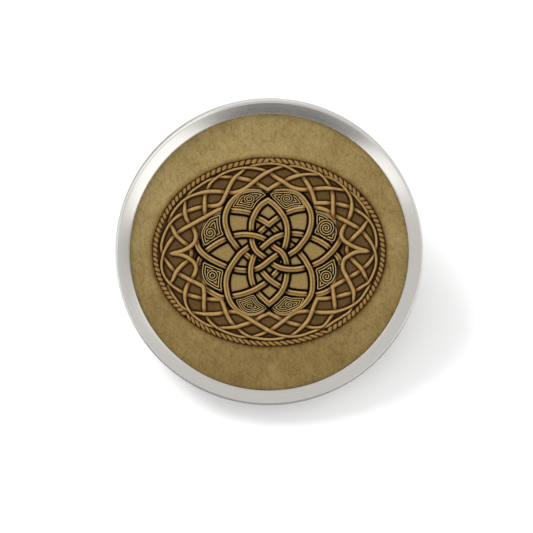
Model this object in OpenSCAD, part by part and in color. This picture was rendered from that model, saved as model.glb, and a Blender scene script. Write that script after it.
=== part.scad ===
// Round lapel pin: a steel bezel cup, a tan insert with an oval woven relief, and a post on the back.
// Millimetres. The pin rests as it would on a table: on the lower edge of its back and on the post's tip.
// Each piece is modelled flat, with its back at z = 0 and its face up, and is then tilted into that pose.

/* [Pin] */
// Outer diameter of the bezel
pin_d = 30; // [28:0.5:36]

/* [Bezel] */
// Width of the rim seen from the front
rim_w = 1.42; // [1.3:0.02:1.9]
// Width of the thin outer chamfer
outer_chamfer_w = 0.3; // [0.2:0.05:0.4]
// Drop of the outer chamfer below the crest
outer_chamfer_h = 0.28; // [0.2:0.02:0.5]
// Width of the steep inner lip
lip_w = 0.16; // [0.1:0.02:0.3]
// Height of the crest above the insert's face
crest_rise = 1.06; // [0.8:0.02:1.4]
// Chamfer round the edge of the back
back_chamfer = 0.2; // [0.1:0.05:0.4]
// Thickness of the back plate
back_t = 0.5; // [0.4:0.05:0.8]

/* [Insert] */
// Thickness of the insert
insert_t = 1; // [0.8:0.05:1.4]
// How far the insert's edge runs under the lip
insert_under_lip = 0.2; // [0.1:0.05:0.3]
// Gap left between one piece and the next
gap = 0.03; // [0.02:0.01:0.05]

/* [Medallion] */
// Half length of the oval to the outside of its rope
oval_a = 11.38; // [11:0.01:11.6]
// Half width of the oval to the outside of its rope
oval_b = 9.28; // [9:0.01:9.5]
// Depth of the oval seat in the insert
seat_depth = 0.3; // [0.2:0.05:0.4]
// Drop of the dark ground below the insert's face
ground_drop = 0.08; // [0.04:0.02:0.14]
// Width of the rope border
rope_w = 0.52; // [0.4:0.02:0.6]
// Number of strands seen round the rope
rope_lobes = 116; // [80:2:140]
// Width of the strands in the outer band
band_w = 0.42; // [0.34:0.02:0.5]
// Width of the strands in the rosette
rosette_w = 0.58; // [0.5:0.02:0.66]
// Rise of the band's strands above the insert's face where they pass over
band_rise = 0.2; // [0.12:0.02:0.3]
// Rise of the rosette's strands above the insert's face where they pass over
rosette_rise = 0.26; // [0.16:0.02:0.34]

/* [Post] */
// Diameter of the shank
post_d = 1.2; // [1:0.05:1.4]
// Length from the back of the cup to the tip
post_l = 8; // [7:0.5:10]
// Distance of the post above the pin's centre
post_up = 3; // [2:0.5:4]
// Diameter of the round pad on the back
pad_d = 6; // [5:0.5:8]
// Thickness of the pad
pad_t = 0.5; // [0.4:0.1:0.8]

/* [Hidden] */
$fn = 120;

pin_r = pin_d / 2;
face_z = back_t + gap + insert_t;
pin_h = face_z + crest_rise;
crest_r = pin_r - outer_chamfer_w;
lip_r = pin_r - rim_w;
lip_t = 0.14;
bevel_foot_z = face_z + 0.44;
insert_r = lip_r + insert_under_lip;
pocket_r = insert_r + 2 * gap;

seat_z = face_z - seat_depth;
ground_z = face_z - ground_drop;
oval_points = 96;
lobe_edge = 0.05;
lobe_fill = 0.74;
lobe_end_share = 0.45;

// The relief has two levels: a strand's full width, and a narrower crown that stops where it passes under.
band_foot_z = face_z + 0.09;
rosette_foot_z = face_z + 0.12;
rosette_floor_z = face_z - 0.02;
crown_share = 0.62;
under_gap = 0.36;
long_step = 0.7;
nudge = 0.04;

groove_r = post_d / 2 - 0.16;
groove_l = 0.9;
groove_from_tip = 2.2;
point_l = 1.1;
point_r = 0.12;

// At this tilt the tip and the lower edge of the back both touch the table.
back_edge_r = pin_r - back_chamfer;
rest_tilt = atan(post_l / (back_edge_r + post_up - point_r));
rest_z = back_edge_r * sin(rest_tilt);
// The tilted bezel reaches from the lower edge of its crest to the upper edge of its back.
rest_y = (crest_r * cos(rest_tilt) + pin_h * sin(rest_tilt) - back_edge_r * cos(rest_tilt)) / 2;

// Slant of the rope's strands to its run in each stretch round the oval:
// start and end of the stretch and slant, in degrees
rope_slants = [[0, 38, 65], [38, 90, -55], [90, 223, 65], [223, 300, -45], [300, 360, 65]];

// The strands of the quarter at the upper right, as rows of x, y, lift and corner.
// The first and last rows only steer the ends. A lift of 1 passes over and -1 passes under;
// 2 changes its sign in every other quarter, 3 in the lower half and 4 in the left half.
// A corner of 1 is a sharp bend.
band_top = [
    [-0.90, 8.50, 0, 0], [0.00, 8.53, 0, 0], [0.90, 8.50, 0, 0], [1.70, 8.34, 2, 0],
    [2.50, 8.00, 0, 0], [3.15, 7.55, -1, 0], [4.12, 6.12, 1, 0], [4.62, 4.82, 0, 1],
    [6.15, 4.80, -1, 0], [8.05, 4.38, -1, 0], [9.15, 3.78, 0, 0], [9.80, 3.20, 1, 0],
    [10.30, 1.98, 0, 0], [10.52, 0.90, 0, 0], [10.38, 0.00, -3, 0], [9.90, -1.05, 0, 0]];
band_arch = [
    [-1.00, 7.25, 0, 0], [0.00, 7.87, 4, 0], [0.85, 8.20, 0, 0], [1.70, 8.34, -2, 0],
    [3.03, 8.13, 0, 0], [4.18, 7.80, 0, 0], [4.95, 7.44, 1, 0], [5.62, 6.88, 0, 0],
    [6.02, 6.20, -1, 0], [6.15, 4.80, 1, 0], [6.16, 3.40, 0, 0], [6.16, 2.60, 0, 0]];
band_vee = [
    [-1.25, 6.95, 0, 0], [0.00, 6.05, 0, 1], [1.25, 6.95, -1, 0], [2.30, 7.40, 0, 0],
    [3.15, 7.55, 1, 0], [4.10, 7.58, 0, 0], [4.95, 7.44, -1, 0], [6.02, 6.99, 0, 0],
    [6.85, 6.48, 0, 0], [7.52, 5.92, 1, 0], [8.06, 5.20, 0, 0], [8.05, 4.38, 1, 0],
    [7.62, 2.98, -1, 0], [7.08, 2.00, 0, 0], [7.22, 1.40, 0, 0], [7.85, 0.93, 1, 0],
    [8.70, 0.42, 0, 0], [9.30, 0.00, 0, 1], [8.70, -0.42, 0, 0]];
band_cross = [
    [-0.90, 8.22, 0, 0], [0.00, 7.87, -4, 0], [1.25, 6.95, 1, 0], [1.95, 6.48, 0, 0],
    [2.80, 6.14, 0, 0], [4.12, 6.12, -1, 0], [6.02, 6.20, 1, 0], [7.52, 5.92, -1, 0],
    [8.12, 5.46, 0, 0], [8.95, 4.55, 0, 0], [9.75, 3.30, -1, 1], [8.95, 2.28, 1, 0],
    [8.40, 1.50, 0, 0], [7.85, 0.93, -1, 0], [7.56, 0.45, 0, 0], [7.52, 0.00, 0, 0],
    [7.56, -0.45, 0, 0]];
band_side = [
    [3.30, 4.35, 0, 0], [4.30, 4.42, -1, 0], [5.20, 4.20, 0, 0], [6.16, 3.70, -1, 0],
    [7.62, 2.98, 1, 0], [8.95, 2.28, -1, 0], [9.75, 1.25, 0, 0], [10.38, 0.00, 3, 0],
    [10.52, -0.90, 0, 0]];

// The rosette's two master strands in the same columns: one from a lens point to a petal's tip, one a loop
rosette_lens = [
    [0.93, 4.35, 0, 0], [0.00, 5.30, 0, 1], [-0.93, 4.35, 0, 0], [-1.50, 3.60, 1, 0],
    [-1.80, 2.60, 0, 0], [-1.76, 1.72, -2, 0], [-1.55, 0.75, 1, 0], [-1.18, 0.00, 2, 0],
    [0.00, -0.86, -2, 0], [0.90, -1.48, 1, 0], [1.76, -1.72, 2, 0], [3.00, -1.72, 0, 0],
    [3.90, -1.50, -1, 0], [5.10, -0.85, 0, 0], [6.28, 0.05, 2, 0], [6.95, 0.95, 0, 0],
    [7.40, 1.80, 0, 0]];
rosette_loop = [
    [1.20, 6.10, 0, 0], [0.00, 5.78, 0, 1], [-1.20, 6.10, 0, 0], [-2.30, 6.06, 0, 0],
    [-3.30, 5.46, 0, 0], [-3.95, 4.40, 1, 0], [-4.25, 3.00, 0, 0], [-3.90, 1.50, 1, 0],
    [-2.84, 0.00, -2, 0], [-1.84, -1.00, -1, 0], [-1.00, -1.68, -1, 0], [0.00, -2.60, 2, 0],
    [1.50, -3.60, -1, 0], [2.60, -3.96, 0, 0], [3.95, -4.40, -1, 0], [5.00, -4.60, 0, 0]];

// Outline of the rosette and of two of its spiral fields, a quarter of each
rosette_edge = [
    [0.00, 5.66], [0.80, 6.02], [1.80, 6.18], [2.70, 6.02], [3.48, 5.44], [4.05, 4.70],
    [4.38, 3.90], [5.25, 3.80], [6.05, 3.30], [6.60, 2.60], [6.75, 1.80], [6.45, 1.10],
    [6.66, 0.10]];
field_upper = [
    [0.35, 5.60], [0.90, 5.92], [1.70, 6.00], [2.50, 5.82], [3.10, 5.20], [3.35, 4.62],
    [2.50, 4.44], [1.62, 4.16], [1.00, 4.80]];
field_outer = [
    [4.52, 3.78], [5.40, 3.62], [6.20, 2.95], [6.56, 2.00], [6.26, 1.10], [5.35, 1.52],
    [4.42, 1.95], [4.56, 2.90]];

// The four quarters as the signs of x and y
quarters = [[1, 1], [-1, 1], [-1, -1], [1, -1]];

function at(row) = [row[0], row[1]];
function point_in(rows, i) = at(rows[max(0, min(len(rows) - 1, i))]);
function span(rows, i) = max(0.001, norm(point_in(rows, i + 1) - point_in(rows, i)));

// Direction of a strand at row i, for the side that ends at row other
function heading(rows, i, other) =
    rows[i][3] == 1
        ? (point_in(rows, max(i, other)) - point_in(rows, min(i, other))) / span(rows, min(i, other))
        : let(before = span(rows, i - 1), after = span(rows, i),
              arriving = (point_in(rows, i) - point_in(rows, i - 1)) / before,
              leaving = (point_in(rows, i + 1) - point_in(rows, i)) / after)
          (arriving * after + leaving * before) / (before + after);

// Point of the smooth curve through the rows, where t = 2.5 is half way from row 2 to row 3
function along(rows, t) =
    let(i = min(floor(t), len(rows) - 2), u = t - i, d = span(rows, i),
        a = point_in(rows, i), b = point_in(rows, i + 1),
        da = heading(rows, i, i + 1) * d, db = heading(rows, i + 1, i) * d)
    a * (1 + u * u * (2 * u - 3)) + da * (u * (1 - u) * (1 - u))
        + b * (u * u * (3 - 2 * u)) + db * (u * u * (u - 1));

// The strand from t0 to t1, sampled at both ends, at each row and half way along a long step,
// with a point beyond each end that only gives the end's direction
function stretch(rows, t0, t1) = [
    along(rows, t0 - nudge),
    along(rows, t0),
    for (i = [floor(t0) : floor(t1)]) each [
        if (i > t0 + nudge && i < t1 - nudge) along(rows, i),
        if (span(rows, i) > long_step && i + 0.5 > t0 + nudge && i + 0.5 < t1 - nudge)
            along(rows, i + 0.5)],
    along(rows, t1),
    along(rows, t1 + nudge)];

function unit(v) = v / max(0.000001, norm(v));
function left_of(v) = [-v[1], v[0]];

// Offset of the path's point i to its left, mitred at a bend
function mitre(path, i) =
    let(a = unit(path[i] - path[i - 1]), b = unit(path[i + 1] - path[i]), m = unit(a + b))
    left_of(m) / max(0.5, m * a);

// Outline of width w along a path, without the path's first and last points
function ribbon(path, w) = concat(
    [for (i = [1 : len(path) - 2]) path[i] + mitre(path, i) * w / 2],
    [for (i = [len(path) - 2 : -1 : 1]) path[i] - mitre(path, i) * w / 2]);

// The lift's sign in a quarter
function lift_in(lift, q) =
    abs(lift) == 2 ? sign(lift) * q[0] * q[1]
    : abs(lift) == 3 ? sign(lift) * q[1]
    : abs(lift) == 4 ? sign(lift) * q[0]
    : lift;

function is_under(rows, i, q) = lift_in(rows[i][2], q) == -1;

// The strand's two end rows, and between them the rows where it passes under another
function dips(rows, q) = [
    1,
    for (i = [2 : len(rows) - 3]) if (is_under(rows, i, q)) i,
    len(rows) - 2];

// One strand in a quarter at full width
module strand_foot(rows, w) {
    polygon(ribbon(stretch(rows, 1, len(rows) - 2), w));
}

// The crowns of one strand in a quarter, left out where it passes under
module strand_crown(rows, w, q) {
    ends = dips(rows, q);
    for (k = [0 : len(ends) - 2]) {
        i = ends[k];
        j = ends[k + 1];
        t0 = i + (is_under(rows, i, q) ? min(0.45, under_gap / span(rows, i)) : 0);
        t1 = j - (is_under(rows, j, q) ? min(0.45, under_gap / span(rows, j - 1)) : 0);
        polygon(ribbon(stretch(rows, t0, t1), w * crown_share));
    }
}

module in_quarter(q) {
    mirror([q[0] < 0 ? 1 : 0, 0, 0])
        mirror([0, q[1] < 0 ? 1 : 0, 0])
            children();
}

// A set of strands in all four quarters, from the oval's ground up to top_z
module woven(strands, w, foot_z, top_z) {
    translate([0, 0, seat_z + 0.1])
        linear_extrude(height = foot_z - seat_z - 0.1)
            for (q = quarters) in_quarter(q)
                for (rows = strands) strand_foot(rows, w);
    translate([0, 0, seat_z + 0.1])
        linear_extrude(height = top_z - seat_z - 0.1)
            for (q = quarters) in_quarter(q)
                for (rows = strands) strand_crown(rows, w, q);
}

function oval(a, b) = [
    for (i = [0 : oval_points - 1])
        [a * cos(360 * i / oval_points), b * sin(360 * i / oval_points)]];

// Four-fold outline from a quarter's points, which run from the y axis to the x axis
function whole_outline(quarter) = concat(
    quarter,
    [for (i = [len(quarter) - 1 : -1 : 0]) [quarter[i][0], -quarter[i][1]]],
    [for (i = [1 : len(quarter) - 1]) [-quarter[i][0], -quarter[i][1]]],
    [for (i = [len(quarter) - 1 : -1 : 1]) [-quarter[i][0], quarter[i][1]]]);

function rope_slant(t) = [for (s = rope_slants) if (t >= s[0] && t < s[1]) s[2]][0];

// One slanted strand of the rope at angle t round the oval
module rope_lobe(t) {
    a = oval_a - rope_w / 2;
    b = oval_b - rope_w / 2;
    pitch = 2 * PI / rope_lobes * norm([a * sin(t), b * cos(t)]);
    ahead = unit([-a * sin(t), b * cos(t)]);
    inwards = left_of(ahead);
    middle = [a * cos(t), b * sin(t)];
    reach = inwards * (rope_w / 2 - lobe_edge);
    lean = ahead * (rope_w / 2 - lobe_edge) / tan(rope_slant(t));
    half = ahead * pitch * lobe_fill / 2;
    end = half * lobe_end_share;
    polygon([
        middle + reach + lean - end, middle + reach + lean + end, middle + half,
        middle - reach - lean + end, middle - reach - lean - end, middle - half]);
}

module rope_border() {
    difference() {
        translate([0, 0, seat_z + 0.1])
            linear_extrude(height = band_foot_z - seat_z - 0.1)
                polygon(oval(oval_a - gap, oval_b - gap));
        translate([0, 0, seat_z])
            linear_extrude(height = 1)
                polygon(oval(oval_a - rope_w, oval_b - rope_w));
    }
    translate([0, 0, seat_z + 0.1])
        linear_extrude(height = face_z + band_rise - seat_z - 0.1)
            for (i = [0 : rope_lobes - 1]) rope_lobe(360 * (i + 0.5) / rope_lobes);
}

module ground() {
    translate([0, 0, seat_z + gap])
        linear_extrude(height = ground_z - seat_z - gap)
            polygon(oval(oval_a - gap, oval_b - gap));
    translate([0, 0, seat_z + 0.1])
        linear_extrude(height = rosette_floor_z - seat_z - 0.1)
            polygon(whole_outline(rosette_edge));
}

module spiral_fields() {
    translate([0, 0, seat_z + 0.1])
        linear_extrude(height = rosette_foot_z - seat_z - 0.1)
            for (q = quarters) in_quarter(q) {
                polygon(field_upper);
                polygon(field_outer);
            }
}

// Tilts a piece into the resting pose, with the lower edge of its back on the table
module at_rest() {
    translate([0, rest_y, rest_z])
        rotate([rest_tilt, 0, 0])
            children();
}

module bezel() {
    color("silver") at_rest() rotate_extrude()
        polygon([
            [0, 0], [back_edge_r, 0], [pin_r, back_chamfer], [pin_r, pin_h - outer_chamfer_h],
            [crest_r, pin_h], [lip_r + lip_w, bevel_foot_z], [lip_r, face_z + gap + lip_t],
            [lip_r, face_z + gap], [pocket_r, face_z + gap], [pocket_r, back_t], [0, back_t]]);
}

module insert_disc() {
    color("#9b8555") at_rest() difference() {
        translate([0, 0, back_t + gap])
            cylinder(h = face_z - back_t - gap, r = insert_r);
        translate([0, 0, seat_z])
            linear_extrude(height = 1)
                polygon(oval(oval_a, oval_b));
    }
}

module medallion() {
    color("#b4945a") at_rest() union() {
        ground();
        rope_border();
        spiral_fields();
        woven([band_top, band_arch, band_vee, band_cross, band_side], band_w,
            band_foot_z, face_z + band_rise);
        woven([rosette_lens, rosette_loop], rosette_w, rosette_foot_z, face_z + rosette_rise);
    }
}

module pin_post() {
    r = post_d / 2;
    tip = -post_l;
    groove_top = tip + groove_from_tip + groove_l;
    color("gainsboro") at_rest() translate([0, post_up, 0]) rotate_extrude()
        polygon([
            [0, -gap], [pad_d / 2, -gap], [pad_d / 2, -pad_t], [r, -pad_t],
            [r, groove_top], [groove_r, groove_top - (r - groove_r)],
            [groove_r, tip + groove_from_tip + (r - groove_r)], [r, tip + groove_from_tip],
            [r, tip + point_l], [point_r, tip], [0, tip]]);
}

bezel();
insert_disc();
medallion();
pin_post();
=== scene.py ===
"""Round lapel pin on a pale floor: steel rim, tan insert, oval woven relief and a post behind."""

import math

import bmesh
import bpy
import numpy as np
from mathutils import Matrix, Vector, noise


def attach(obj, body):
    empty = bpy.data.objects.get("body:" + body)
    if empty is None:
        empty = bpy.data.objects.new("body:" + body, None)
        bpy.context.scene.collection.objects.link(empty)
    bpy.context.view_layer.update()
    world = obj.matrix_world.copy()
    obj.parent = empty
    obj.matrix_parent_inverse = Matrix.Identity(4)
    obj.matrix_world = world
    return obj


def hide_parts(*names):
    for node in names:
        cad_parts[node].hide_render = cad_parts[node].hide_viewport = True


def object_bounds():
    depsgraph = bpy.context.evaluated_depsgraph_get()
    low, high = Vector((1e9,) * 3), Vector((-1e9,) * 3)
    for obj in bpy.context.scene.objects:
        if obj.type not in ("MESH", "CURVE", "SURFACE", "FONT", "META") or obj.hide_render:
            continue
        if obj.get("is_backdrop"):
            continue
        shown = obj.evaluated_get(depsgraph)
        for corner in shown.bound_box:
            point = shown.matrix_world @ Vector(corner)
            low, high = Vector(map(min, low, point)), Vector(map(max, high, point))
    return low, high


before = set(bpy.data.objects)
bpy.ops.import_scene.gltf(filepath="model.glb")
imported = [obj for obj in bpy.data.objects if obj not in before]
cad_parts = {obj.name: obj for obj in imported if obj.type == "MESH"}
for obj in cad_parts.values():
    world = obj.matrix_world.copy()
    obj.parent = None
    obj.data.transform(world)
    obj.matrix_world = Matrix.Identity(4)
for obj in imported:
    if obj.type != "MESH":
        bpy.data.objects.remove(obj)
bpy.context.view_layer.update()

# Sizes in millimetres, as in part.scad
PIN_R = 15.0
FACE_Z = 1.53
CREST_Z = FACE_Z + 1.06
CREST_R = 14.7
# The shown crest stands a little further out, which leaves the narrow chamfer of the face
SHOWN_CREST_R = 14.79
LIP_R = 13.58
OVAL_A, OVAL_B = 11.38, 9.28
SEAT_Z = FACE_Z - 0.3
GROUND_Z = FACE_Z - 0.08
FLOOR_Z = FACE_Z - 0.02
ROPE_W = 0.52
ROPE_LOBES = 116
BACK_EDGE_R = 14.8
GAP = 0.03
BACK_T = 0.5
POCKET_R = 13.84
SHANK_R, GROOVE_R, PAD_R = 0.6, 0.44, 3.0
POST_L, POST_UP, POINT_R = 8.0, 3.0, 0.12
TILT = math.atan(POST_L / (BACK_EDGE_R + POST_UP - POINT_R))
REST_Z = BACK_EDGE_R * math.sin(TILT)
REST_Y = (CREST_R * math.cos(TILT) + CREST_Z * math.sin(TILT) - BACK_EDGE_R * math.cos(TILT)) / 2
REST = Matrix.Translation((0, REST_Y / 1000, REST_Z / 1000)) @ Matrix.Rotation(TILT, 4, "X")


# Materials
def linear(rgb):
    """Linear colour of an sRGB colour in 0 to 255."""
    shares = [c / 255 for c in rgb]
    values = [s / 12.92 if s <= 0.04045 else ((s + 0.055) / 1.055) ** 2.4 for s in shares]
    return (*values, 1.0)


class Nodes:
    """Short names for making a node material."""

    def __init__(self, name):
        self.mat = bpy.data.materials.new(name)
        self.mat.use_nodes = True
        self.tree = self.mat.node_tree
        self.bsdf = self.tree.nodes["Principled BSDF"]
        self.spot = self.make("ShaderNodeTexCoord").outputs["Object"]

    def make(self, kind, **settings):
        node = self.tree.nodes.new(kind)
        for key, value in settings.items():
            setattr(node, key, value)
        return node

    def link(self, source, target):
        self.tree.links.new(source, target)

    def plug(self, node, values):
        for key, value in values.items():
            if isinstance(value, bpy.types.NodeSocket):
                self.link(value, node.inputs[key])
            else:
                node.inputs[key].default_value = value

    def set(self, **values):
        self.plug(self.bsdf, {k.replace("_", " "): v for k, v in values.items()})

    def stretch(self, scale, vector=None, turn=0.0):
        node = self.make("ShaderNodeMapping")
        self.plug(node, {"Vector": vector or self.spot, "Scale": scale, "Rotation": (0, 0, turn)})
        return node.outputs[0]

    def noise(self, scale, detail=3.0, rough=0.55, vector=None, warp=0.0):
        node = self.make("ShaderNodeTexNoise")
        self.plug(node, {"Vector": vector or self.spot, "Scale": scale, "Detail": detail,
                         "Roughness": rough, "Distortion": warp})
        return node.outputs["Fac"]

    def math(self, kind, a, b=0.0, c=0.0, clamp=False):
        node = self.make("ShaderNodeMath", operation=kind, use_clamp=clamp)
        self.plug(node, {0: a, 1: b, 2: c})
        return node.outputs[0]

    def ramp(self, factor, stops):
        """Colour by the factor; stops are rows of place and sRGB colour."""
        node = self.make("ShaderNodeValToRGB")
        bar = node.color_ramp.elements
        while len(bar) < len(stops):
            bar.new(0.5)
        for element, (place, colour) in zip(bar, stops):
            element.position = place
            element.color = linear(colour)
        self.link(factor, node.inputs["Fac"])
        return node.outputs["Color"]

    def blend(self, factor, a, b, kind="MIX"):
        node = self.make("ShaderNodeMix", data_type="RGBA", blend_type=kind)
        self.plug(node, {0: factor, 6: a, 7: b})
        return node.outputs[2]

    def bump(self, height, depth_mm, strength=1.0, base=None):
        node = self.make("ShaderNodeBump")
        self.plug(node, {"Height": height, "Distance": depth_mm / 1000, "Strength": strength})
        if base is not None:
            self.link(base, node.inputs["Normal"])
        return node.outputs[0]

    def place(self):
        node = self.make("ShaderNodeSeparateXYZ")
        self.link(self.spot, node.inputs[0])
        return node.outputs

    def length(self, x, y):
        squares = self.math("ADD", self.math("MULTIPLY", x, x), self.math("MULTIPLY", y, y))
        return self.math("SQRT", squares)

    def around(self):
        """Vector of distance from the axis and angle round it, for streaks along the turning."""
        x, y, z = self.place()
        out = self.length(x, y)
        turn = self.math("ARCTAN2", y, x)
        join = self.make("ShaderNodeCombineXYZ")
        self.plug(join, {0: out, 1: turn, 2: z})
        return join.outputs[0]


def steel(name, streaks=True):
    m = Nodes(name)
    polar = m.around()
    fine = m.noise(1.0, 4.0, 0.7, m.stretch((26000, 2.2, 26000), polar))
    broad = m.noise(1.0, 2.0, 0.5, m.stretch((5200, 0.9, 5200), polar))
    smudge = m.noise(190.0, 3.0, 0.5)
    tint = m.blend(fine, linear((189, 186, 181)), linear((210, 207, 202)))
    tint = m.blend(m.math("MULTIPLY", broad, 0.25), tint, linear((173, 170, 165)))
    rough = m.math("ADD", m.math("MULTIPLY", fine, 0.12), m.math("MULTIPLY", smudge, 0.08))
    m.set(Base_Color=tint, Metallic=1.0, Roughness=m.math("ADD", rough, 0.17))
    if streaks:
        m.set(Anisotropic=0.55, Anisotropic_Rotation=0.25)
        tangent = m.make("ShaderNodeTangent", direction_type="RADIAL", axis="Z")
        m.link(tangent.outputs[0], m.bsdf.inputs["Tangent"])
    m.link(m.bump(fine, 0.003, 0.3), m.bsdf.inputs["Normal"])
    return m.mat


def tan_leather(name):
    """Matte mottled tan with fine creases and a soft brown painted shade round the raised oval."""
    m = Nodes(name)
    cloud = m.noise(150.0, 4.0, 0.6, warp=0.6)
    patch = m.noise(520.0, 5.0, 0.62, warp=0.4)
    fibre = m.noise(1.0, 5.0, 0.7, m.stretch((2300, 2300, 2300)), warp=1.5)
    grain = m.noise(4600.0, 3.0, 0.7)
    colour = m.ramp(cloud, [(0.30, (150, 130, 84)), (0.5, (160, 141, 93)),
                            (0.72, (171, 153, 106))])
    mottle = m.ramp(patch, [(0.30, (196, 182, 150)), (0.52, (244, 240, 232)),
                            (0.75, (255, 253, 246))])
    colour = m.blend(0.3, colour, mottle, "MULTIPLY")
    thread = m.ramp(fibre, [(0.34, (206, 196, 174)), (0.56, (255, 255, 255))])
    colour = m.blend(0.3, colour, thread, "MULTIPLY")
    # Turn, scales along and across, and warp of each way in which the scratches run
    for turn, long, across, warp in ((0.7, 520, 2300, 0.8), (-0.6, 640, 2700, 1.2),
                                     (1.5, 480, 2100, 0.6)):
        turned = m.stretch((1, 1, 1), turn=turn)
        lines = m.noise(1.0, 3.0, 0.6, m.stretch((long, across, 400), turned), warp=warp)
        off = m.math("ABSOLUTE", m.math("SUBTRACT", lines, 0.5))
        scratch = m.ramp(off, [(0.0, (192, 180, 158)), (0.03, (255, 255, 255))])
        colour = m.blend(0.5, colour, scratch, "MULTIPLY")
    x, y, _ = m.place()
    # Darker towards the bottom and a little towards the right
    slope = m.math("MULTIPLY_ADD", x, -14.0, m.math("MULTIPLY_ADD", y, 42.0, 0.5))
    low = m.ramp(slope, [(0.0, (213, 204, 190)), (1.0, (255, 255, 255))])
    colour = m.blend(0.9, colour, low, "MULTIPLY")
    # Painted shade round the raised oval: darkest in a thin line at its edge, fading outwards
    # within a millimetre
    e = m.length(m.math("MULTIPLY", x, 1000 / OVAL_A), m.math("MULTIPLY", y, 1000 / OVAL_B))
    ragged = m.math("ADD", e, m.math("MULTIPLY_ADD", patch, 0.03, -0.015))
    shade = m.ramp(m.math("MULTIPLY_ADD", ragged, 14.0, -14.0),
                   [(0.0, (120, 84, 50)), (0.10, (190, 166, 130)),
                    (0.34, (236, 229, 216)), (0.8, (255, 255, 255))])
    colour = m.blend(1.0, colour, shade, "MULTIPLY")
    rough = m.math("MULTIPLY_ADD", patch, 0.2, 0.62)
    m.set(Base_Color=colour, Roughness=rough, Specular_IOR_Level=0.1)
    tilt = m.bump(grain, 0.012, 0.35)
    m.link(m.bump(patch, 0.05, 0.22, tilt), m.bsdf.inputs["Normal"])
    return m.mat


def relief(name, stops, speck=0.5):
    """Colour by the mesh's own tone, from the black cut lines to the light tops of the strands; the
    tone holds painted highlights and painted shade.
    """
    m = Nodes(name)
    tone = m.make("ShaderNodeAttribute", attribute_name="tone").outputs["Fac"]
    patch = m.noise(900.0, 4.0, 0.6, warp=0.5)
    grain = m.noise(5200.0, 3.0, 0.65)
    place = m.math("ADD", tone, m.math("MULTIPLY_ADD", patch, 0.16, -0.08), clamp=True)
    colour = m.ramp(place, stops)
    wear = m.ramp(grain, [(0.32, (212, 200, 180)), (0.6, (255, 255, 255))])
    colour = m.blend(speck, colour, wear, "MULTIPLY")
    rough = m.math("MULTIPLY_ADD", patch, 0.22, 0.45)
    m.set(Base_Color=colour, Roughness=rough, Specular_IOR_Level=0.04)
    m.link(m.bump(grain, 0.012, 0.45), m.bsdf.inputs["Normal"])
    return m.mat


def ground_paint(name):
    """Dark brown ground with fine upright pricks."""
    m = Nodes(name)
    tone = m.make("ShaderNodeAttribute", attribute_name="tone").outputs["Fac"]
    prick = m.noise(1.0, 3.0, 0.7, m.stretch((7600, 3000, 3000)))
    patch = m.noise(700.0, 3.0, 0.6)
    place = m.math("ADD", tone, m.math("MULTIPLY_ADD", prick, 0.5, -0.25), clamp=True)
    place = m.math("ADD", place, m.math("MULTIPLY_ADD", patch, 0.2, -0.1), clamp=True)
    colour = m.ramp(place, [(0.0, (25, 14, 6)), (0.3, (59, 40, 19)),
                            (0.62, (93, 71, 40)), (0.9, (116, 92, 55))])
    m.set(Base_Color=colour, Roughness=0.8, Specular_IOR_Level=0.05)
    m.link(m.bump(prick, 0.03, 0.6), m.bsdf.inputs["Normal"])
    return m.mat


# Mesh helpers
def drop_slivers(mesh):
    """Takes out the faces without area that the mitred bends leave."""
    work = bmesh.new()
    work.from_mesh(mesh)
    bmesh.ops.dissolve_degenerate(work, dist=2e-7, edges=work.edges)
    work.to_mesh(mesh)
    work.free()


def piece(name, verts_mm, faces, material, slot, tone=None, sharp_deg=40, stands_for=()):
    """A mesh in the pin's own flat frame, in millimetres, laid into the resting pose."""
    mesh = bpy.data.meshes.new(name)
    mesh.from_pydata((np.asarray(verts_mm, float) / 1000).tolist(), [], faces)
    mesh.validate()
    mesh.update()
    if tone is not None:
        layer = mesh.attributes.new("tone", "FLOAT", "POINT")
        layer.data.foreach_set("value", np.asarray(tone, np.float32))
    drop_slivers(mesh)
    mesh.shade_smooth()
    mesh.set_sharp_from_angle(angle=math.radians(sharp_deg))
    mesh.materials.append(material)
    ob = bpy.data.objects.new(name, mesh)
    bpy.context.scene.collection.objects.link(ob)
    ob.matrix_world = REST
    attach(ob, "root")
    if stands_for:
        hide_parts(*stands_for)


class Shells:
    """Collects closed shells into one mesh."""

    def __init__(self):
        self.verts, self.faces, self.tone, self.count = [], [], [], 0

    def add(self, verts, faces, tone):
        self.verts.append(np.asarray(verts, float))
        self.faces += [tuple(i + self.count for i in f) for f in faces]
        self.tone.append(np.asarray(tone, float))
        self.count += len(verts)

    def make(self, name, material, slot, **more):
        piece(name, np.concatenate(self.verts), self.faces, material, slot,
              tone=np.concatenate(self.tone), **more)


def rounded(profile, radii, n=5):
    """A closed profile of r, z points with its corners rounded."""
    points = []
    count = len(profile)
    for i, (p, rad) in enumerate(zip(profile, radii)):
        p = np.array(p, float)
        a = np.array(profile[i - 1], float) - p
        b = np.array(profile[(i + 1) % count], float) - p
        if rad <= 0:
            points.append(p)
            continue
        ra, rb = min(rad, np.linalg.norm(a) * 0.45), min(rad, np.linalg.norm(b) * 0.45)
        s, e = p + a / np.linalg.norm(a) * ra, p + b / np.linalg.norm(b) * rb
        for t in np.linspace(0, 1, n):
            points.append(s * (1 - t) ** 2 + p * 2 * t * (1 - t) + e * t * t)
    return np.array(points)


def lathe(points, segments, centre=(0.0, 0.0)):
    """Turns a profile that starts and ends on the axis into a closed mesh."""
    ring = [(r, z) for r, z in points if r > 1e-6]
    low, high = points[0], points[-1]
    verts, faces = [], []
    n = len(ring)
    for k in range(segments):
        a = 2 * math.pi * k / segments
        verts += [(centre[0] + r * math.cos(a), centre[1] + r * math.sin(a), z) for r, z in ring]
    verts += [(centre[0], centre[1], low[1]), (centre[0], centre[1], high[1])]
    first, last = len(verts) - 2, len(verts) - 1
    for k in range(segments):
        a, b = k * n, (k + 1) % segments * n
        faces += [(a + i, b + i, b + i + 1, a + i + 1) for i in range(n - 1)]
        faces += [(first, b, a), (last, a + n - 1, b + n - 1)]
    return verts, faces


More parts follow.
